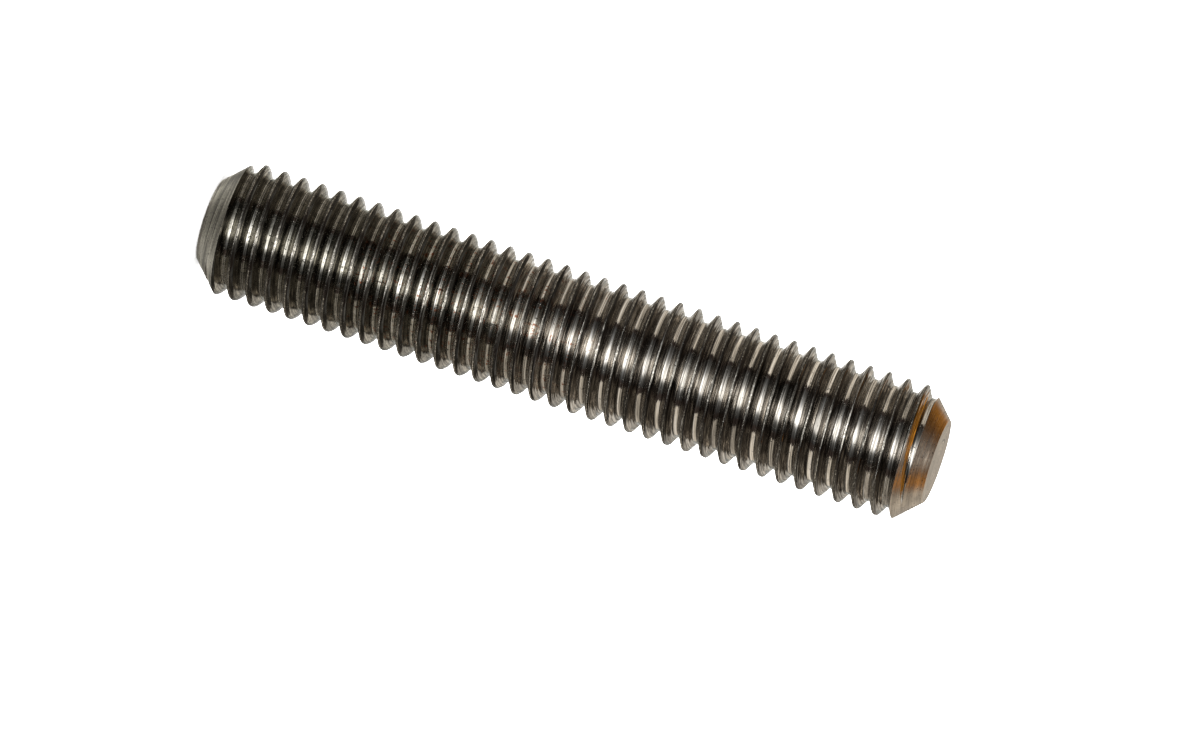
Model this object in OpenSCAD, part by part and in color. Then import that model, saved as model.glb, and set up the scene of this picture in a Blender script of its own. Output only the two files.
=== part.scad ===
// Fully threaded stud: one steel bar, threaded from end to end, with a
// 45 degree chamfer and a flat face on each end. It stands on its lower
// face, with its axis on +Z and the origin at the centre of that face.

/* [Thread] */
// Major diameter, over the crests
major_d = 6.32; // [6.1:0.01:6.4]
// Threads per inch
tpi = 28; // [20:1:32]
// Included angle between the flanks
flank_angle = 60; // [55:1:60]
// Width of the flat on the crest, as a share of the pitch
crest_share = 0.12; // [0.06:0.005:0.15]
// Width of the flat in the root, as a share of the pitch
root_share = 0.25; // [0.12:0.01:0.3]
// Height of the first crest over the +X side, as a share of the pitch
thread_start = 0.32; // [0:0.01:0.99]

/* [Bar] */
// Overall length, face to face
length = 34.85; // [12:0.05:40]
// Diameter of the flat face on each end
face_d = 3.88; // [3:0.01:5]
// Angle of the end chamfers, measured from the axis
chamfer_angle = 45; // [35:1:50]

/* [Hidden] */

steel = [0.62, 0.60, 0.57];
pitch = 25.4 / tpi;
// Flat segments in one turn of the thread, fewer where there are more turns
turn_segments = min(36, 4 * floor(400 / (length / pitch + 2)));
crest_w = crest_share * pitch;
root_w = root_share * pitch;
thread_depth = (pitch - crest_w - root_w) / 2 / tan(flank_angle / 2);
major_r = major_d / 2;
minor_r = major_r - thread_depth;
// The thread is swept past both faces, and the end outline then cuts it
run_out = (2 - thread_start) * pitch;
sweep_steps = ceil((length + run_out) / pitch * turn_segments) + 1;
outline_r = major_r + 0.5;
chamfer_len = (outline_r - face_d / 2) / tan(chamfer_angle);

// One ridge in section, as [radius, height] from the middle of its crest:
// lower and upper edge of the crest, then lower and upper edge of the root
ridge = [
    [major_r, -crest_w / 2],
    [major_r, crest_w / 2],
    [minor_r, pitch / 2 - root_w / 2],
    [minor_r, pitch / 2 + root_w / 2]
];

// Point q of the ridge's section after i steps along the helix
function ridge_point(i, q) =
    let (a = 360 * i / turn_segments)
    [ridge[q][0] * cos(a), ridge[q][0] * sin(a),
     ridge[q][1] + pitch * i / turn_segments - run_out];

// A right-hand helical ridge wound on itself, closed at each end by a fan
// to a point on the axis
module helical_thread() {
    n = sweep_steps;
    m = turn_segments;
    points = concat(
        [for (i = [0 : n + m]) for (q = [0 : 3]) ridge_point(i, q)],
        [[0, 0, -run_out - crest_w / 2],
         [0, 0, pitch * (n + m) / m - run_out - crest_w / 2]]);
    low = 4 * (n + m + 1);
    high = low + 1;
    function at(i, q) = q < 4 ? 4 * i + q : 4 * (i + m);
    strips = [for (i = [0 : n - 1]) for (q = [0 : 3]) each [
        [at(i, q), at(i, q + 1), at(i + 1, q)],
        [at(i, q + 1), at(i + 1, q + 1), at(i + 1, q)]]];
    low_fan = concat(
        [for (i = [0 : m - 1]) [low, at(i, 0), at(i + 1, 0)]],
        [for (q = [0 : 3]) [low, at(0, q + 1), at(0, q)]]);
    high_fan = concat(
        [for (i = [n : n + m - 1]) [high, at(i + 1, 0), at(i, 0)]],
        [for (q = [0 : 3]) [high, at(n, q), at(n, q + 1)]]);
    polyhedron(points = points, faces = concat(strips, low_fan, high_fan),
        convexity = 10);
}

// The turned outline that the ends are cut to: a flat face and a chamfer at
// each end, standing clear of the crests in between
module end_outline() {
    rotate_extrude($fn = 96)
        polygon([
            [0, 0],
            [face_d / 2, 0],
            [outline_r, chamfer_len],
            [outline_r, length - chamfer_len],
            [face_d / 2, length],
            [0, length]
        ]);
}

module stud() {
    color(steel)
        intersection() {
            helical_thread();
            end_outline();
        }
}

stud();
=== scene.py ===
import math

import bpy
import numpy as np
from mathutils import Matrix, Vector


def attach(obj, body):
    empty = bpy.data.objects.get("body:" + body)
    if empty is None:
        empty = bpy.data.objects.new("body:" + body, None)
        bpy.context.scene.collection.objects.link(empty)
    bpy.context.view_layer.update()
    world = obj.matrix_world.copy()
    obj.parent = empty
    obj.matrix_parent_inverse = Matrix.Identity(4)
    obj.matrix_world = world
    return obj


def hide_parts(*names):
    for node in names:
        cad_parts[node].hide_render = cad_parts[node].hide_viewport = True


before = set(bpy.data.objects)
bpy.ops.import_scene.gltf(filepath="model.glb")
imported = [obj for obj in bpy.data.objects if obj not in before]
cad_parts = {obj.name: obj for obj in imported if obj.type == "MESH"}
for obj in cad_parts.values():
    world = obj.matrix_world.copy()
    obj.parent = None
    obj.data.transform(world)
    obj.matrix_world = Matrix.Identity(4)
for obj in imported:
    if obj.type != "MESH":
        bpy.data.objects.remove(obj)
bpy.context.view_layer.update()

# Sizes in millimetres, as in the part's source.
PITCH = 25.4 / 28
MAJOR_R = 3.16
LENGTH = 34.85
FACE_R = 1.94
CREST = 0.12 * PITCH
ROOT = 0.25 * PITCH
START = 0.32
DEPTH = (PITCH - CREST - ROOT) / 2 / math.tan(math.radians(30))
MINOR_R = MAJOR_R - DEPTH
CREST_FILLET = 0.075 * PITCH
ROOT_FILLET = 0.075 * PITCH
# On the lower half of the bar the upward flanks bulge: from BEND degrees of slope they turn in a wider curve
SIN_BEND, COS_BEND = math.sin(math.radians(35)), math.cos(math.radians(35))
SIN60, TAN30 = math.sin(math.radians(60)), math.tan(math.radians(30))
FULL_CURVE = 0.51 * PITCH
FULL_FLANK = FULL_CURVE * (SIN60 - SIN_BEND - (COS_BEND - 0.5) * TAN30)
TURN = 80  # segments in one turn
MM = 0.001


# ---------------------------------------------------------------- the thread

def fullness(height):
    """1 on the lower half of the bar and 0 on the upper half."""
    k = np.clip((21.0 - height) / 7.5, 0, 1)
    return k * k * (3 - 2 * k)


def half_profile(full):
    """Heights of the section's points, from a crest's first curve to the middle of the root."""
    cx = CREST / 2 - CREST_FILLET * TAN30
    curve = CREST_FILLET + full * FULL_CURVE
    points = [cx + CREST_FILLET * math.sin(math.radians(a)) for a in (0, 17, 35)]
    points += [points[-1] + curve * (math.sin(math.radians(a)) - SIN_BEND) for a in (43, 51.5, 60)]
    bx = PITCH / 2 - ROOT / 2 + full * FULL_FLANK + ROOT_FILLET * TAN30
    arc = [bx + ROOT_FILLET * math.cos(math.radians(a)) for a in np.linspace(210, 270, 6)]
    return points + [(points[-1] + arc[0]) / 2] + arc


PLAIN_Z, FULL_Z = (np.array(half_profile(full) + [PITCH - z for z in reversed(half_profile(0.0))])
                   for full in (0.0, 1.0))


def profile_at(t, height):
    """Radius, and its slope along the axis, at t turns past the middle of a crest."""
    z = (t - np.floor(t)) * PITCH
    z = np.minimum(z, PITCH - z)
    side = np.where((t - np.floor(t)) > 0.5, -1.0, 1.0)
    full = np.where(side > 0, fullness(height), 0.0)
    curve = CREST_FILLET + full * FULL_CURVE
    cx = CREST / 2 - CREST_FILLET * TAN30
    bx = PITCH / 2 - ROOT / 2 + full * FULL_FLANK + ROOT_FILLET * TAN30
    radius = np.full_like(z, MAJOR_R)
    slope = np.zeros_like(z)
    arc = z > cx
    d = np.clip(z - cx, 0, CREST_FILLET * SIN_BEND)
    radius = np.where(arc, MAJOR_R - CREST_FILLET + np.sqrt(CREST_FILLET ** 2 - d ** 2), radius)
    slope = np.where(arc, -d / np.sqrt(CREST_FILLET ** 2 - d ** 2), slope)
    arc = z > cx + CREST_FILLET * SIN_BEND
    start = cx + (CREST_FILLET - curve) * SIN_BEND
    d = np.clip(z - start, curve * SIN_BEND, curve * SIN60)
    base = MAJOR_R - CREST_FILLET + (CREST_FILLET - curve) * COS_BEND
    radius = np.where(arc, base + np.sqrt(curve ** 2 - d ** 2), radius)
    slope = np.where(arc, -d / np.sqrt(curve ** 2 - d ** 2), slope)
    z1 = start + curve * SIN60
    flank = z > z1
    r1 = base + curve / 2
    radius = np.where(flank, r1 - (z - z1) / TAN30, radius)
    slope = np.where(flank, -1 / TAN30, slope)
    z2 = bx - ROOT_FILLET * math.cos(math.radians(30))
    arc = z > z2
    d = np.clip(bx - z, 0, ROOT_FILLET * math.cos(math.radians(30)))
    radius = np.where(arc, MINOR_R + ROOT_FILLET - np.sqrt(ROOT_FILLET ** 2 - d ** 2), radius)
    slope = np.where(arc, -d / np.sqrt(ROOT_FILLET ** 2 - d ** 2), slope)
    root = z > bx
    radius = np.where(root, MINOR_R, radius)
    slope = np.where(root, 0.0, slope)
    return radius, slope * side


def turns(phi, z):
    """How far past a crest's middle a point is, in turns of the thread."""
    return z / PITCH - phi / (2 * math.pi) - START


RANDOM = np.random.RandomState(28)
NICKS = [(RANDOM.uniform(0.5, 37.5), RANDOM.uniform(0.02, 0.075), RANDOM.uniform(0.012, 0.035),
          RANDOM.uniform(0.04, 0.09), RANDOM.uniform(-0.03, 0.03)) for _ in range(90)]


def wear(phi, z, t):
    """How far the surface stands below the true thread, in millimetres, as a number under 0."""
    wave = 0.0016 * (np.sin(phi * 5 + z * 0.7) + np.sin(phi * 9 - z * 1.9 + 1.0)
                     + 0.6 * np.sin(phi * 14 + z * 3.1 + 2.0)) - 0.0042
    t = np.asarray(t)
    nearest = np.round(t)
    out = wave
    # nicks and flattened places on the crests: where, how long, how deep, how wide
    crest_place = nearest + phi / (2 * math.pi)  # turns along the thread
    d = (t - nearest) * PITCH
    near = np.abs(d) < 0.25
    if near.any():
        cp, dd = crest_place[near], d[near]
        cut = np.zeros_like(cp)
        for where, length, deep, wide, off in NICKS:
            u = (cp - where) / length * 4
            cut += deep * np.exp(-u * u) * np.exp(-((dd - off) / wide) ** 2)
        out = out.copy()
        out[near] -= np.minimum(cut, 0.05)
    return out


def thread_solid():
    m, n = TURN, len(PLAIN_Z)
    run_out = 2.0
    steps = int(math.ceil((LENGTH / PITCH + 2 * run_out) * m))
    i = np.arange(steps + m + 1)[:, None]
    phi = 2 * math.pi * i / m + 0 * PLAIN_Z[None, :]
    z = (START - run_out + i / m) * PITCH + 0 * PLAIN_Z[None, :]
    z = z + PLAIN_Z[None, :] + (FULL_Z - PLAIN_Z)[None, :] * fullness(z)
    t = turns(phi, z)
    r = profile_at(t, z)[0] + wear(phi, z, t)
    points = np.stack([r * np.cos(phi), r * np.sin(phi), z], -1).reshape(-1, 3)
    at = lambda i, q: n * i + q if q < n else n * (i + m) + q - n
    ii, qq = np.meshgrid(np.arange(steps), np.arange(n), indexing="ij")
    nxt = np.where(qq + 1 < n, n * ii + qq + 1, n * (ii + m))
    nxt1 = np.where(qq + 1 < n, n * (ii + 1) + qq + 1, n * (ii + 1 + m))
    quads = np.stack([n * ii + qq, n * (ii + 1) + qq, nxt1, nxt], -1).reshape(-1, 4)
    low, high = len(points), len(points) + 1
    points = np.concatenate([points, [[0, 0, z[0, 0]], [0, 0, z[steps, 0] + PITCH]]])
    tris = [(low, at(k + 1, 0), at(k, 0)) for k in range(m)]
    tris += [(low, at(0, q), at(0, q + 1)) for q in range(n)]
    tris += [(high, at(k, 0), at(k + 1, 0)) for k in range(steps, steps + m)]
    tris += [(high, at(steps, q + 1), at(steps, q)) for q in range(n)]
    return points, [tuple(q) for q in quads.tolist()] + tris


def outline_solid(segments=160):
    """The turned outline that the ends are cut to."""
    soft = 0.035
    k = soft * math.tan(math.radians(22.5))
    outer = MAJOR_R + 0.6
    edge = [(FACE_R - k + soft * math.sin(math.radians(a)), soft - soft * math.cos(math.radians(a)))
            for a in np.linspace(0, 45, 4)]
    lower = edge + [(outer, outer - FACE_R)]
    line = lower + [(r, LENGTH - z) for r, z in reversed(lower)]
    a = 2 * math.pi * np.arange(segments) / segments
    points = [(0.0, 0.0, 0.0)]
    for r, z in line:
        points += [(r * math.cos(b), r * math.sin(b), z) for b in a]
    top = len(points)
    points.append((0.0, 0.0, LENGTH))
    s = segments
    faces = [(0, 1 + (j + 1) % s, 1 + j) for j in range(s)]
    for q in range(len(line) - 1):
        for j in range(s):
            a0, a1 = 1 + q * s + j, 1 + q * s + (j + 1) % s
            faces.append((a0, a1, a1 + s, a0 + s))
    base = 1 + (len(line) - 1) * s
    faces += [(top, base + j, base + (j + 1) % s) for j in range(s)]
    return np.array(points), faces


def mesh_object(name, points, faces):
    mesh = bpy.data.meshes.new(name)
    mesh.from_pydata([tuple(p) for p in (np.asarray(points) * MM).tolist()], [], faces)
    mesh.update()
    obj = bpy.data.objects.new(name, mesh)
    bpy.context.scene.collection.objects.link(obj)
    return obj


def build_stud():
    # The cut is made at 1000 times the size, where the solver's tolerance is small
    thread = mesh_object("thread_work", thread_solid()[0] / MM, thread_solid()[1])
    outline = mesh_object("outline_work", outline_solid()[0] / MM, outline_solid()[1])
    cut = thread.modifiers.new("cut", "BOOLEAN")
    cut.operation = "INTERSECT"
    cut.object = outline
    cut.solver = "MANIFOLD"
    bpy.context.view_layer.update()
    depsgraph = bpy.context.evaluated_depsgraph_get()
    mesh = bpy.data.meshes.new_from_object(thread.evaluated_get(depsgraph))
    mesh.name = "threaded_stud"
    mesh.materials.clear()
    mesh.transform(Matrix.Scale(MM, 4))
    for o in (thread, outline):
        data = o.data
        bpy.data.objects.remove(o)
        bpy.data.meshes.remove(data)
    obj = bpy.data.objects.new("threaded_stud", mesh)
    bpy.context.scene.collection.objects.link(obj)
    shade(mesh)
    return obj


def shade(mesh):
    """True normals: the thread's own, the chamfers' and the faces', each on its own side of every edge."""
    nv, nl, np_ = len(mesh.vertices), len(mesh.loops), len(mesh.polygons)
    co = np.zeros(nv * 3); mesh.vertices.foreach_get("co", co); co = co.reshape(-1, 3) / MM
    lv = np.zeros(nl, int); mesh.loops.foreach_get("vertex_index", lv)
    pn = np.zeros(np_ * 3); mesh.polygons.foreach_get("normal", pn); pn = pn.reshape(-1, 3)
    pc = np.zeros(np_ * 3); mesh.polygons.foreach_get("center", pc); pc = pc.reshape(-1, 3) / MM
    total = np.zeros(np_, int); mesh.polygons.foreach_get("loop_total", total)
    lp = np.repeat(np.arange(np_), total)
    # which polygons lie on the turned outline
    pr = np.hypot(pc[:, 0], pc[:, 1])
    from_end = np.minimum(pc[:, 2], LENGTH - pc[:, 2])
    flat = from_end < 1e-3
    cone = (np.abs(pr - (FACE_R + from_end)) < 0.02) & (np.abs(np.abs(pn[:, 2]) - math.sqrt(0.5)) < 0.05) \
        & (np.sign(pn[:, 2]) == np.where(pc[:, 2] > LENGTH / 2, 1, -1)) & ~flat \
        & (np.abs((pn[:, 0] * pc[:, 0] + pn[:, 1] * pc[:, 1]) / np.maximum(pr, 1e-6) - math.sqrt(0.5)) < 0.05)
    edge = (np.abs(pr - FACE_R) < 0.03) & (from_end < 0.02) & ~flat & ~cone
    kind = np.where(flat | edge, 2, np.where(cone, 1, 0))
    mesh.polygons.foreach_set("material_index", np.where(kind == 2, 1, kind).astype(np.int32))
    p = co[lv]
    phi = np.arctan2(p[:, 1], p[:, 0])
    r = np.hypot(p[:, 0], p[:, 1])
    t = turns(phi, p[:, 2])
    _, slope = profile_at(t, p[:, 2])
    e = 1e-3
    dz = (wear(phi, p[:, 2] + e, t + e / PITCH) - wear(phi, p[:, 2] - e, t - e / PITCH)) / (2 * e)
    da = e / 3
    dphi = (wear(phi + da, p[:, 2], t - da / (2 * math.pi)) - wear(phi - da, p[:, 2], t + da / (2 * math.pi))) / (2 * da)
    rz = slope + dz
    rphi = -slope * PITCH / (2 * math.pi) + dphi
    er = np.stack([np.cos(phi), np.sin(phi), 0 * phi], -1)
    ephi = np.stack([-np.sin(phi), np.cos(phi), 0 * phi], -1)
    ez = np.array([0.0, 0.0, 1.0])
    normal = er - rz[:, None] * ez - (rphi / np.maximum(r, 1e-6))[:, None] * ephi
    end = np.where(p[:, 2] > LENGTH / 2, 1.0, -1.0)
    z_end = np.minimum(p[:, 2], LENGTH - p[:, 2])
    k = np.clip((r - (FACE_R - 0.0145)) / 0.025, 0, 1)[:, None]
    cone_n = er * math.sqrt(0.5) + (end * math.sqrt(0.5))[:, None] * ez
    flat_n = end[:, None] * ez + 0 * er
    lk = kind[lp]
    normal = np.where((lk == 1)[:, None], cone_n, normal)
    normal = np.where((lk == 2)[:, None], flat_n * (1 - k) + cone_n * k, normal)
    normal /= np.linalg.norm(normal, axis=1)[:, None]
    mesh.polygons.foreach_set("use_smooth", np.ones(np_, bool))
    mesh.normals_split_custom_set([tuple(v) for v in normal.tolist()])
    mesh.update()
    print("stud:", nv, "vertices", int((total - 2).sum()), "triangles", "chamfer", int(cone.sum()),
          "flat", int(flat.sum()), "edge", int(edge.sum()))


stud = build_stud()


# ------------------------------------------------------------- the materials

class Nodes:
    """Short names for the nodes of one material."""

    def __init__(self, material):
        self.tree = material.node_tree
        self.shader = self.tree.nodes["Principled BSDF"]

    def put(self, socket, value):
        if isinstance(value, bpy.types.NodeSocket):
            self.tree.links.new(value, socket)
        elif value is not None:
            socket.default_value = value

    def math(self, operation, a, b=None, c=None, clamp=False):
        node = self.tree.nodes.new("ShaderNodeMath")
        node.operation = operation
        node.use_clamp = clamp
        for socket, value in zip(node.inputs, (a, b, c)):
            self.put(socket, value)
        return node.outputs[0]

    def combine(self, x=0.0, y=0.0, z=0.0):
        node = self.tree.nodes.new("ShaderNodeCombineXYZ")
        for socket, value in zip(node.inputs, (x, y, z)):
            self.put(socket, value)
        return node.outputs[0]

    def noise(self, vector, scale=1.0, detail=2.0, roughness=0.5):
        node = self.tree.nodes.new("ShaderNodeTexNoise")
        self.put(node.inputs["Vector"], vector)
        node.inputs["Scale"].default_value = scale
        node.inputs["Detail"].default_value = detail
        node.inputs["Roughness"].default_value = roughness
        return node.outputs[0]

    def ramp(self, value, low, high, to_low=0.0, to_high=1.0, smooth=True):
        node = self.tree.nodes.new("ShaderNodeMapRange")
        node.interpolation_type = "SMOOTHSTEP" if smooth else "LINEAR"
        for name, v in (("Value", value), ("From Min", low), ("From Max", high),
                        ("To Min", to_low), ("To Max", to_high)):
            self.put(node.inputs[name], v)
        return node.outputs[0]

    def mix(self, factor, a, b):
        node = self.tree.nodes.new("ShaderNodeMix")
        node.data_type = "RGBA"
        self.put(node.inputs[0], factor)
        self.put(node.inputs[6], a)
        self.put(node.inputs[7], b)
        return node.outputs[2]

    def vector(self, operation, a, b=None, scale=None):
        node = self.tree.nodes.new("ShaderNodeVectorMath")
        node.operation = operation
        self.put(node.inputs[0], a)
        if b is not None:
            self.put(node.inputs[1], b)
        if scale is not None:
            self.put(node.inputs["Scale"], scale)
        return node.outputs[0]

    def scale(self, colour, tone):
        return self.vector("SCALE", colour, scale=tone)

    def shift(self, place, by):
        return self.vector("ADD", place, (by, by * 0.7, by * 1.3))

    def leaning(self, angle, lean):
        """The surface's normal, leaned along the thread."""
        normal = self.tree.nodes.new("ShaderNodeNewGeometry").outputs["Normal"]
        side = self.combine(self.math("MULTIPLY", self.math("SINE", angle), -1.0), self.math("COSINE", angle))
        turn = self.tree.nodes.new("ShaderNodeVectorTransform")
        turn.vector_type = "VECTOR"
        turn.convert_from, turn.convert_to = "OBJECT", "WORLD"
        self.tree.links.new(side, turn.inputs[0])
        side = self.vector("SCALE", self.vector("NORMALIZE", turn.outputs[0]), scale=lean)
        return self.vector("NORMALIZE", self.vector("ADD", normal, side))

    def bump(self, height, strength, distance, normal=None):
        node = self.tree.nodes.new("ShaderNodeBump")
        node.inputs["Strength"].default_value = strength
        self.put(node.inputs["Distance"], distance)
        self.put(node.inputs["Height"], height)
        self.put(node.inputs["Normal"], normal)
        return node.outputs[0]


def start(name):
    """A metal whose place on the stud is known in millimetres."""
    material = bpy.data.materials.new(name)
    material.use_nodes = True
    n = Nodes(material)
    n.shader.inputs["Metallic"].default_value = 1.0
    place = n.tree.nodes.new("ShaderNodeTexCoord").outputs["Object"]
    split = n.tree.nodes.new("ShaderNodeSeparateXYZ")
    n.tree.links.new(place, split.inputs[0])
    x, y, z = (n.math("MULTIPLY", o, 1000.0) for o in split.outputs)
    radius = n.math("SQRT", n.math("ADD", n.math("MULTIPLY", x, x), n.math("MULTIPLY", y, y)))
    angle = n.math("ARCTAN2", y, x)
    return material, n, n.combine(x, y, z), radius, angle, z


def thread_steel():
    material, n, place, radius, angle, z = start("steel_thread")
    turn = n.math("SUBTRACT", n.math("SUBTRACT", n.math("DIVIDE", z, PITCH),
                                     n.math("DIVIDE", angle, 2 * math.pi)), START)
    whole = n.math("FLOOR", turn)
    share = n.math("SUBTRACT", turn, whole)  # 0 and 1 on a crest, 0.5 in a root
    along = n.math("ADD", angle, n.math("MULTIPLY", whole, 2 * math.pi))
    arc = n.math("MULTIPLY", along, MAJOR_R)  # millimetres along the thread
    across = n.math("MULTIPLY", share, 1.35)  # millimetres over the section
    root = n.ramp(radius, MINOR_R + 0.012, MINOR_R + 0.06, 1.0, 0.0)
    past = n.math("SUBTRACT", share, n.math("GREATER_THAN", share, 0.5))
    crest = n.ramp(n.math("ABSOLUTE", past), 0.07, 0.035)
    downward = n.ramp(share, 0.49, 0.51)  # the flanks that face the lower end

    def strip(width, length, seed, detail=1.0):
        """Noise in strips that run along the thread; width and length are per millimetre."""
        return n.noise(n.combine(n.math("MULTIPLY", across, width), n.math("MULTIPLY", arc, length), seed),
                       1.0, detail, 0.55)

    # the upper half of the bar is cut more coarsely than the lower half
    drift = n.math("MULTIPLY", n.math("SUBTRACT", n.noise(place, 0.45, 1.0), 0.5), 7.0)
    coarse = n.ramp(n.math("ADD", z, drift), 10.5, 18.0)
    smooth = n.math("SUBTRACT", 1.0, coarse)

    # lines left by the threading tool
    lines = strip(9.0, 0.12, 3.0, 2.0)
    fine = strip(26.0, 0.5, 7.0)
    height = n.math("ADD", lines, n.math("MULTIPLY", fine, 0.4))
    depth = n.math("MULTIPLY", n.ramp(coarse, 0.0, 1.0, SMOOTH_LINES, 1.0), n.ramp(root, 0.0, 1.0, 1.0, ROOT_LINES))
    height = n.math("MULTIPLY", height, depth)

    # pits and stains, most of them on the lower half
    mottle = n.noise(place, 4.0, 3.0, 0.6)
    speck = n.noise(place, 9.0, 2.0, 0.55)
    pit_level = n.math("ADD", n.ramp(coarse, 0.0, 1.0, 0.66, 0.72), n.math("MULTIPLY", root, -0.05))
    pit = n.ramp(n.math("SUBTRACT", speck, pit_level), 0.0, 0.035)
    height = n.math("SUBTRACT", height, n.math("MULTIPLY", pit, 0.25))
    grain = n.noise(place, 24.0, 1.0)
    height = n.math("ADD", height, n.math("MULTIPLY", grain, GRAIN))

    # each line leans a little its own way along the thread
    lean = n.math("SUBTRACT", n.math("ADD", n.ramp(strip(11.0, 0.3, 11.0), 0.38, 0.62),
                                     n.ramp(strip(21.0, 0.8, 13.0), 0.38, 0.62)), 1.0)
    lean = n.math("MULTIPLY", lean, n.ramp(coarse, 0.0, 1.0, SMOOTH_LEAN, COARSE_LEAN))
    lean = n.math("MULTIPLY", lean, n.ramp(root, 0.0, 1.0, 1.0, 0.3))
    n.put(n.shader.inputs["Normal"], n.bump(height, 1.0, LINE_HEIGHT * MM, n.leaning(angle, lean)))

    # colours
    flank = n.mix(coarse, (*SMOOTH_COLOUR, 1), (*FLANK_COLOUR, 1))
    colour = n.mix(root, flank, n.mix(coarse, (*SMOOTH_ROOT_COLOUR, 1), (*ROOT_COLOUR, 1)))
    colour = n.mix(crest, colour, (*CREST_COLOUR, 1))
    # painted highlight: the crest is painted as a narrow bright line, and painted shade darkens a border on its upper
    # side
    painted_crest_highlight = n.ramp(n.math("ABSOLUTE", past), 0.012, 0.03, n.ramp(strip(1.0, 1.7, 83.0, 2.0), 0.36, 0.6, 0.25, 1.0), 0.0)
    colour = n.mix(painted_crest_highlight, colour, (*CREST_HIGHLIGHT_COLOUR, 1))
    # painted shade: a dark band on the flank just above each crest
    painted_crest_shade = n.math("MULTIPLY", n.ramp(past, 0.17, 0.10), n.ramp(past, 0.03, 0.055))
    tone = n.ramp(strip(6.0, 0.07, 19.0), 0.32, 0.68, n.ramp(coarse, 0.0, 1.0, 0.75, 0.55), n.ramp(coarse, 0.0, 1.0, 1.2, 1.3))
    scratches = n.math("ADD", n.math("MULTIPLY", strip(13.0, 0.25, 71.0), 0.65), n.math("MULTIPLY", fine, 0.35))
    tone = n.math("MULTIPLY", tone, n.ramp(scratches, 0.38, 0.62, n.ramp(coarse, 0.0, 1.0, 0.62, 0.42),
                                           n.ramp(coarse, 0.0, 1.0, 1.26, 1.45)))
    tone = n.math("MULTIPLY", tone, n.math("SUBTRACT", 1.0, n.math("MULTIPLY", painted_crest_shade, n.ramp(coarse, 0.0, 1.0, 0.25, 0.4))))
    thin = n.ramp(strip(22.0, 0.12, 97.0), 0.4, 0.6, 0.74, 1.14)
    tone = n.math("MULTIPLY", tone, n.ramp(root, 0.0, 1.0, thin, 1.0))
    broad = n.noise(place, 0.7, 2.0)
    tone = n.math("MULTIPLY", tone, n.ramp(broad, 0.3, 0.7, 0.88, 1.1))
    blotch = n.ramp(mottle, 0.42, 0.66, 1.06, n.ramp(root, 0.0, 1.0, 0.82, 0.64))
    tone = n.math("MULTIPLY", tone, n.math("ADD", n.math("MULTIPLY", smooth, n.math("SUBTRACT", blotch, 1.0)), 1.0))
    tone = n.math("MULTIPLY", tone, n.math("SUBTRACT", 1.0, n.math("MULTIPLY", pit, 0.72)))
    # painted shade: a dark line down the middle of the roots and darker sides to the roots, with painted highlight in
    # their middles; painted glints in beads along the crests
    aside = n.math("ABSOLUTE", n.math("SUBTRACT", share, n.math("ADD", 0.5, n.math("MULTIPLY", smooth, 0.025))))
    middle = n.ramp(aside, 0.012, 0.035, 1.0, 0.0)
    # painted shade on the sides of the roots of the lower half, and painted highlight in their middles
    painted_root_edge_shade = n.math("MULTIPLY", n.math("MULTIPLY", root, smooth), n.ramp(aside, 0.045, 0.085))
    tone = n.math("MULTIPLY", tone, n.ramp(painted_root_edge_shade, 0.0, 1.0, 1.0, 0.34, smooth=False))
    tone = n.math("MULTIPLY", tone, n.ramp(n.math("MULTIPLY", root, smooth), 0.0, 1.0, 1.0, 1.2, smooth=False))
    streak = strip(16.0, 1.6, 61.0, 2.0)
    tone = n.math("MULTIPLY", tone, n.ramp(streak, 0.3, 0.62, n.ramp(root, 0.0, 1.0, 0.62, 0.9), 1.14))
    # painted shade: a broken dark line down the middle of the roots of the lower half
    painted_root_line_shade = n.math("MULTIPLY", middle, n.ramp(strip(0.1, 1.3, 31.0, 2.0), 0.42, 0.58))
    tone = n.math("MULTIPLY", tone, n.math("SUBTRACT", 1.0, n.math("MULTIPLY", painted_root_line_shade, n.math("MULTIPLY", smooth, 0.55))))
    # painted glints: bright beads along the crests, where the roughness is also lower
    painted_glint_beads = n.math("MULTIPLY", crest, n.ramp(strip(4.0, 7.0, 41.0), 0.5, 0.66))
    tone = n.math("MULTIPLY", tone, n.ramp(painted_glint_beads, 0.0, 1.0, n.ramp(crest, 0.0, 1.0, 1.0, 0.86), 2.3))
    colour = n.scale(colour, tone)
    # rust-coloured specks on the flanks that face the lower end
    rust_band = n.math("MULTIPLY", n.ramp(z, 5.5, 8.5), n.ramp(z, 17.0, 21.0, 1.0, 0.0))
    rust_level = n.ramp(n.math("MULTIPLY", rust_band, n.ramp(downward, 0.0, 1.0, 0.25, 1.0)), 0.0, 1.0, 0.75, 0.585)
    rust = n.ramp(n.math("SUBTRACT", n.noise(n.shift(place, 40.0), 5.0, 3.0, 0.6), rust_level), 0.0, 0.05)
    rust = n.math("MULTIPLY", rust, n.ramp(crest, 0.0, 1.0, 1.0, 0.4))
    colour = n.mix(n.math("MULTIPLY", rust, 0.85), colour, (0.40, 0.14, 0.065, 1))
    n.put(n.shader.inputs["Base Color"], colour)

    rough = n.ramp(coarse, 0.0, 1.0, SMOOTH_ROUGH, FLANK_ROUGH)
    rough = n.ramp(root, 0.0, 1.0, rough, ROOT_ROUGH)
    rough = n.ramp(crest, 0.0, 1.0, rough, CREST_ROUGH)
    rough = n.math("ADD", rough, n.math("MULTIPLY", n.math("SUBTRACT", fine, 0.5),
                                        n.ramp(coarse, 0.0, 1.0, 0.05, 0.15)))
    rough = n.math("ADD", rough, n.math("MULTIPLY", pit, 0.35))
    rough = n.math("ADD", rough, n.math("MULTIPLY", rust, 0.2))
    rough = n.math("SUBTRACT", rough, n.math("MULTIPLY", painted_glint_beads, 0.12))
    n.put(n.shader.inputs["Roughness"], n.math("MAXIMUM", rough, 0.06))
    return material


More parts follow.
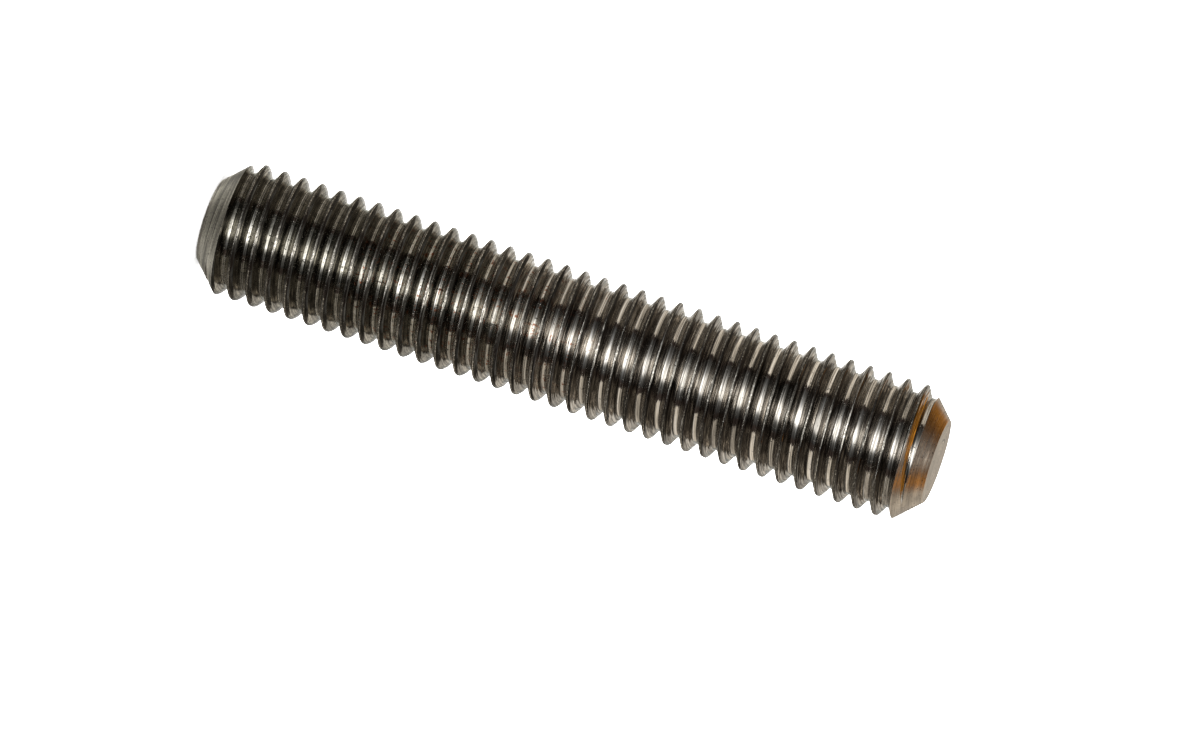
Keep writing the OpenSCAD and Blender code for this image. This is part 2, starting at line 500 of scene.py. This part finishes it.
def turned_steel():
    material, n, place, radius, angle, z = start("steel_turned")
    upper = n.ramp(z, 15.0, 16.0)
    from_end = n.math("MINIMUM", z, n.math("SUBTRACT", LENGTH, z))
    face = n.ramp(from_end, 0.0, 0.06, 1.0, 0.0)

    def ring(width, seed, detail=1.0, around=0.8):
        """Noise in rings round the axis; width is per millimetre."""
        return n.noise(n.combine(n.math("MULTIPLY", n.math("COSINE", angle), around),
                                 n.math("MULTIPLY", n.math("SINE", angle), around),
                                 n.math("ADD", n.math("MULTIPLY", radius, width), seed)), 1.0, detail, 0.55)

    lathe = ring(22.0, 3.0, 2.0)
    wide = ring(6.0, 50.0)
    scratch = n.noise(n.shift(place, 17.0), 11.0, 2.0, 0.6)
    height = n.math("ADD", lathe, n.math("MULTIPLY", wide, 0.8))
    speck = n.noise(place, 8.0, 2.0, 0.6)
    pit = n.ramp(speck, 0.645, 0.68)
    height = n.math("SUBTRACT", height, n.math("MULTIPLY", pit, 0.4))
    n.put(n.shader.inputs["Normal"], n.bump(height, 1.0, n.ramp(face, 0.0, 1.0, 0.012 * MM, 0.006 * MM)))
    colour = n.mix(upper, (*LOWER_END_COLOUR, 1), (*UPPER_END_COLOUR, 1))
    tone = n.ramp(ring(14.0, 9.0, 2.0), 0.3, 0.7, 0.72, 1.18)
    tone = n.math("MULTIPLY", tone, n.ramp(ring(9.0, 33.0), 0.38, 0.62, n.ramp(upper, 0.0, 1.0, 0.55, 0.92),
                                           n.ramp(upper, 0.0, 1.0, 1.3, 1.06)))
    tone = n.math("MULTIPLY", tone, n.ramp(scratch, 0.35, 0.65, n.ramp(upper, 0.0, 1.0, 0.82, 0.94), 1.08))
    tone = n.math("MULTIPLY", tone, n.ramp(n.noise(place, 1.1, 2.0), 0.3, 0.7, 0.85, 1.12))
    tone = n.math("MULTIPLY", tone, n.math("SUBTRACT", 1.0, n.math("MULTIPLY", pit, 0.5)))
    # a short curved scar on the upper face, as far out as half its radius
    scar = n.math("MULTIPLY", n.ramp(n.math("ABSOLUTE", n.math("SUBTRACT", radius, 1.02)), 0.03, 0.075, 1.0, 0.0),
                  n.math("MULTIPLY", n.ramp(n.math("ABSOLUTE", angle), 2.45, 2.75), upper))
    tone = n.math("MULTIPLY", tone, n.math("SUBTRACT", 1.0, n.math("MULTIPLY", scar, 0.6)))
    n.put(n.shader.inputs["Base Color"], n.scale(colour, tone))
    n.put(n.shader.inputs["Roughness"], n.math("ADD", 0.30, n.math("MULTIPLY", n.math("SUBTRACT", scratch, 0.5), 0.12)))
    return material


FLANK_COLOUR = (0.66, 0.62, 0.57)
SMOOTH_COLOUR = (0.47, 0.45, 0.40)
ROOT_COLOUR = (0.84, 0.81, 0.76)
SMOOTH_ROOT_COLOUR = (0.77, 0.755, 0.685)
CREST_COLOUR = (0.42, 0.405, 0.365)
# colour of the painted crest highlight
CREST_HIGHLIGHT_COLOUR = (0.68, 0.66, 0.615)
UPPER_END_COLOUR = (0.71, 0.635, 0.545)
LOWER_END_COLOUR = (0.64, 0.615, 0.525)
FLANK_ROUGH = 0.045
SMOOTH_ROUGH = 0.12
ROOT_ROUGH = 0.08
CREST_ROUGH = 0.24
LINE_HEIGHT = 0.018
SMOOTH_LINES = 0.25
ROOT_LINES = 0.12
SMOOTH_LEAN = 0.02
COARSE_LEAN = 0.12
GRAIN = 0.012

for material in (thread_steel(), turned_steel()):
    stud.data.materials.append(material)

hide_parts("stud")
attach(stud, "root")


# ---------------------------------------------------------------- the camera

# The camera lies at the front, about 9 degrees above the stud's middle, and
# is rolled so that the stud lies across the picture.
TILT, ROLL = math.radians(8.963), math.radians(-18.448)
FOCAL = 10120.92  # in pixels of a picture 1200 wide
axis = np.array([math.cos(TILT) * math.cos(ROLL), math.cos(TILT) * math.sin(ROLL), math.sin(TILT)])
front = np.array([-math.sin(TILT) * math.cos(ROLL), -math.sin(TILT) * math.sin(ROLL), math.cos(TILT)])
down = np.cross(axis, front)
rows = np.array([down, -front, axis])  # CAD +X, +Y, +Z seen from the camera
if rows[0][1] > 0:
    rows[0] = -rows[0]
offset = np.array([-0.80514, 1.22084, -502.146])  # the stud's middle, in pitches
place = (rows @ -offset) * PITCH + np.array([0, 0, 19.82 * PITCH])
camera = bpy.data.cameras.new("camera")
camera.sensor_fit = "HORIZONTAL"
camera.sensor_width = 36.0
camera.lens = FOCAL * 36.0 / 1200
camera.clip_start = 0.01
camera.clip_end = 20
camera_obj = bpy.data.objects.new("camera", camera)
bpy.context.scene.collection.objects.link(camera_obj)
matrix = Matrix.Identity(4)
for i in range(3):
    for j in range(3):
        matrix[i][j] = float(rows[i][j])
    matrix[i][3] = float(place[i]) * MM
camera_obj.matrix_world = matrix
bpy.context.scene.camera = camera_obj


# ----------------------------------------------------------------- the stage

MIDDLE = np.array([0.0, 0.0, LENGTH / 2])


def toward(turned, raised):
    """A direction: degrees round the stud from the front towards -X, and degrees up towards its upper end."""
    a, b = math.radians(turned), math.radians(raised)
    return np.array([-math.sin(a) * math.cos(b), -math.cos(a) * math.cos(b), math.sin(b)])


def glow(name, strength):
    """Light given off by a card, in the colour kept in its mesh."""
    material = bpy.data.materials.new(name)
    material.use_nodes = True
    tree = material.node_tree
    tree.nodes.clear()
    colour = tree.nodes.new("ShaderNodeAttribute")
    colour.attribute_name = "glow"
    light = tree.nodes.new("ShaderNodeEmission")
    tree.links.new(colour.outputs["Color"], light.inputs["Color"])
    light.inputs["Strength"].default_value = strength
    out = tree.nodes.new("ShaderNodeOutputMaterial")
    tree.links.new(light.outputs[0], out.inputs[0])
    return material


def card(name, turned, raised, distance, strength, colour=(1.0, 0.97, 0.92), lean=0.0, fade=None, rise=None,
         middle=MIDDLE):
    """A curved softbox round the stud, seen only in its reflections. lean is how far it turns for each degree up.
    fade and rise are its brightness by degrees turned and degrees raised, where that isn't even."""
    us = np.linspace(*turned, max(5, int(abs(turned[1] - turned[0]) / 2.5)))
    vs = np.linspace(*raised, max(5, int(abs(raised[1] - raised[0]) / 4)))
    m = len(vs)
    points = [tuple((middle + distance * toward(u + lean * v, v)) * MM) for u in us for v in vs]
    faces = [(i * m + j, i * m + j + 1, (i + 1) * m + j + 1, (i + 1) * m + j)
             for i in range(len(us) - 1) for j in range(m - 1)]
    mesh = bpy.data.meshes.new(name)
    mesh.from_pydata(points, [], faces)
    level = np.ones((len(us), m))
    if fade:
        level *= np.interp(us, [f[0] for f in fade], [f[1] for f in fade])[:, None]
    if rise:
        level *= np.interp(vs, [f[0] for f in rise], [f[1] for f in rise])[None, :]
    data = mesh.attributes.new("glow", "FLOAT_COLOR", "POINT")
    rgba = np.concatenate([level.reshape(-1, 1) * np.array([colour]), np.ones((len(points), 1))], 1)
    data.data.foreach_set("color", rgba.astype(np.float32).ravel())
    mesh.materials.append(glow(name, strength))
    obj = bpy.data.objects.new(name, mesh)
    bpy.context.scene.collection.objects.link(obj)
    obj.visible_camera = False
    obj.visible_diffuse = False
    obj.visible_shadow = False
    return obj


KEY = [(-46, 0.02), (-34, 0.05), (-27, 0.10), (-22, 0.24), (-17, 0.75), (-13, 1.0), (2, 1.0), (8, 0.85),
       (15, 0.5), (22, 0.25), (30, 0.12), (40, 0.05), (52, 0.03)]
NARROW = [(-46, 0.02), (-30, 0.03), (-20, 0.06), (-16, 0.3), (-12, 1.0), (4, 1.0), (9, 0.65), (16, 0.3),
          (24, 0.12), (40, 0.04), (52, 0.02)]
ENDS = [(-30, 0.0), (-18, 0.1), (-11, 0.8), (-8, 1.0), (4, 1.0), (9, 0.6), (16, 0.2), (30, 0.0)]
GROWING = [(-15, 0.02), (-5, 0.72), (-3.5, 0.74)]
SIDE = (1.08, 0.96, 0.80)
card("key_low", (-46, 52), (-50, -20), 250, 1.9, lean=0.1, fade=NARROW,
     rise=[(-50, 0.08), (-42, 0.2), (-32, 0.8), (-20, 1.0)])
card("key_mid", (-46, 52), (-20, 10), 250, 1.6, lean=0.1, fade=KEY)
card("key_high", (-46, 52), (10, 46), 250, 1.8, lean=0.1, fade=NARROW)
card("key_top", (-30, 30), (46, 84), 250, 4.0, fade=ENDS, rise=[(46, 1.0), (68, 1.0), (76, 0.5), (84, 0.15)])
card("key_foot", (-30, 30), (-84, -50), 250, 0.2, fade=ENDS)
card("side_up", (62, 150), (-15, -3.5), 250, 1.05, rise=GROWING, colour=SIDE)
card("side_up_mid", (62, 150), (-3.5, 24), 250, 0.105, colour=SIDE)
card("side_up_low", (62, 150), (-42, -15), 250, 0.14, colour=SIDE)
card("side_up_high", (62, 150), (24, 40), 250, 0.065, colour=SIDE)
card("side_down", (-150, -62), (-15, -3.5), 250, 0.95, rise=GROWING, colour=SIDE)
card("side_down_mid", (-150, -62), (-3.5, 24), 250, 0.105, colour=SIDE)
card("side_down_low", (-150, -62), (-42, -15), 250, 0.115, colour=SIDE)
card("side_down_high", (-150, -62), (24, 40), 250, 0.045, colour=SIDE)
card("back", (150, 210), (-36, 10), 250, 0.42, colour=(1.0, 0.98, 0.88),
     fade=[(150, 1.2), (180, 1.1), (190, 0.8), (210, 0.7)])
card("behind", (160, 200), (-28, 4), 180, 0.9, fade=[(160, 1.0), (180, 0.9), (186, 0.6), (200, 0.5)])
card("back_high", (150, 210), (10, 40), 250, 0.55, colour=(1.0, 0.93, 0.82))
card("cap", (-90, 90), (60, 89), 250, 0.12)
card("cap_back", (96, 264), (40, 89), 250, 0.12)
card("low_back", (110, 250), (-89, -40), 250, 0.42, rise=[(-89, 0.2), (-80, 0.25), (-68, 0.8), (-56, 1.1), (-40, 1.2)])

# Something amber stood close to the upper end: it shows in the chamfer and in the last flank
TOP = np.array([0.0, 0.0, LENGTH])
AMBER = (1.0, 0.42, 0.055)
card("amber_up", (70, 146), (16, 72), 12, 0.75, colour=AMBER, middle=TOP,
     fade=[(70, 0.1), (90, 0.14), (112, 0.5), (128, 1.0), (146, 1.0)],
     rise=[(16, 0.5), (35, 0.45), (55, 0.4), (68, 0.9), (72, 0.9)])
card("amber_down", (214, 296), (46, 72), 12, 0.75, colour=AMBER, middle=TOP,
     fade=[(214, 1.0), (252, 1.0), (272, 1.0), (286, 0.45), (296, 0.05)],
     rise=[(46, 0.5), (56, 0.65), (68, 0.9), (72, 0.9)])
card("amber_top", (100, 260), (72, 86), 12, 0.75, colour=AMBER, middle=TOP)
card("pale_down", (196, 262), (6, 45), 12, 0.5, colour=(1.0, 0.92, 0.80), middle=TOP)

floor_mesh = bpy.data.meshes.new("floor")
floor_mesh.from_pydata([(-3, -3, 0), (3, -3, 0), (3, 3, 0), (-3, 3, 0)], [], [(0, 1, 2, 3)])
floor = bpy.data.objects.new("floor", floor_mesh)
bpy.context.scene.collection.objects.link(floor)
paper = bpy.data.materials.new("paper")
paper.use_nodes = True
paper.node_tree.nodes["Principled BSDF"].inputs["Base Color"].default_value = (0.95, 0.95, 0.94, 1)
paper.node_tree.nodes["Principled BSDF"].inputs["Roughness"].default_value = 0.9
floor_mesh.materials.append(paper)
floor.visible_glossy = False

# The room: white paper to the eye and to the floor, dim in the steel's reflections
world = bpy.data.worlds.new("room")
bpy.context.scene.world = world
world.use_nodes = True
tree = world.node_tree
paths = tree.nodes.new("ShaderNodeLightPath")
dim = tree.nodes["Background"]
dim.inputs["Color"].default_value = (1.0, 0.76, 0.64, 1)
dim.inputs["Strength"].default_value = 0.037
white = tree.nodes.new("ShaderNodeBackground")
white.inputs["Color"].default_value = (1, 1, 1, 1)
white.inputs["Strength"].default_value = 4.5
choose = tree.nodes.new("ShaderNodeMixShader")
tree.links.new(paths.outputs["Is Glossy Ray"], choose.inputs[0])
tree.links.new(white.outputs[0], choose.inputs[1])
tree.links.new(dim.outputs[0], choose.inputs[2])
tree.links.new(choose.outputs[0], tree.nodes["World Output"].inputs["Surface"])
bpy.context.scene.view_settings.view_transform = "Standard"
